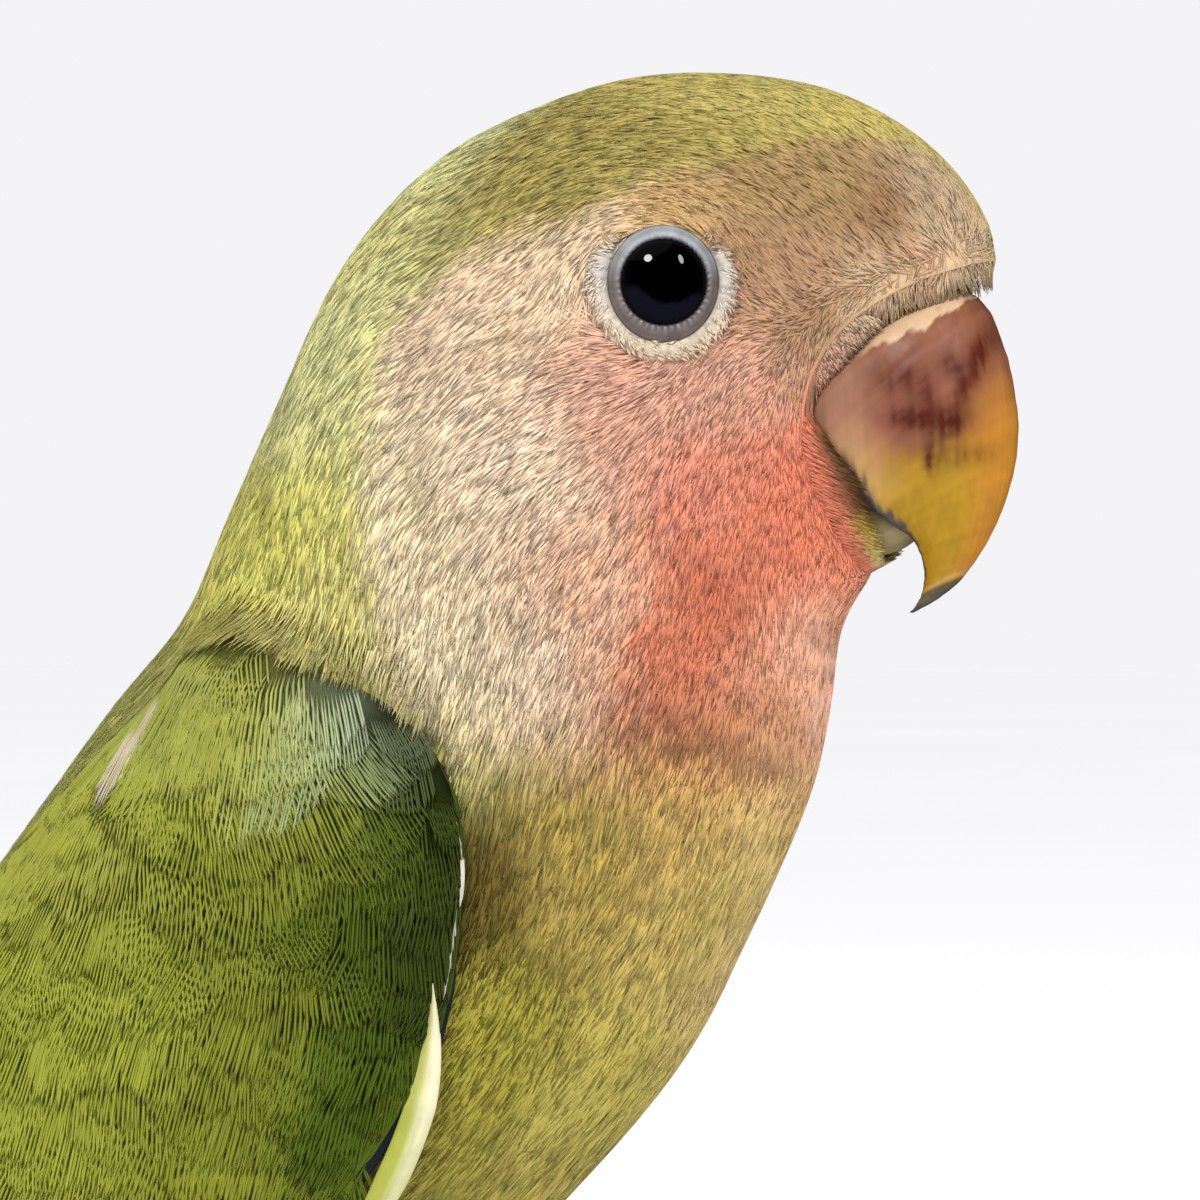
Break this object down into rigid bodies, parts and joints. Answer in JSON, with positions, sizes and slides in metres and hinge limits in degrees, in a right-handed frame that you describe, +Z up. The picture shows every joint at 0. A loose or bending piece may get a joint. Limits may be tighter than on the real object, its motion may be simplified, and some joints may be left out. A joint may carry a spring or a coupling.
{
  "type": "peach-faced lovebird model",
  "caption": "Life-size standing peach-faced lovebird, a still museum-like model with folded wings, hooked bill and fanned tail feathers.",
  "frame": {"origin": "centre of the bounding box at floor level, under the bird", "axes": "+X the way the bird faces, +Y to its left, +Z up"},
  "size_m": [0.1256, 0.0428, 0.1048],
  "materials": {
    "belly": "soft feathers, matte",
    "claw": "satin",
    "eye": "glossy",
    "face": "soft feathers, matte",
    "horn": "satin",
    "leg": "scaly, matte",
    "lower_horn": "satin",
    "neck": "soft feathers, matte",
    "quill": "soft feathers, matte",
    "rump": "soft feathers, matte",
    "tail": "soft feathers, matte",
    "wing": "soft feathers, matte"
  },
  "bodies": {
    "root": {"bill_lower": "lower_horn", "bill_upper": "horn", "claw_back_inner_left": "claw", "claw_back_inner_right": "claw", "claw_back_outer_left": "claw", "claw_back_outer_right": "claw", "claw_front_inner_left": "claw", "claw_front_inner_right": "claw", "claw_front_outer_left": "claw", "claw_front_outer_right": "claw", "eye_left": "eye", "eye_right": "eye", "head": "face", "leg_left": "leg", "leg_right": "leg", "neck": "neck", "primaries_left": "quill", "primaries_right": "quill", "rump": "rump", "tail": "tail", "thigh_left": "belly", "thigh_right": "belly", "torso": "belly", "wing_left": "wing", "wing_right": "wing"}
  },
  "joints": []
}
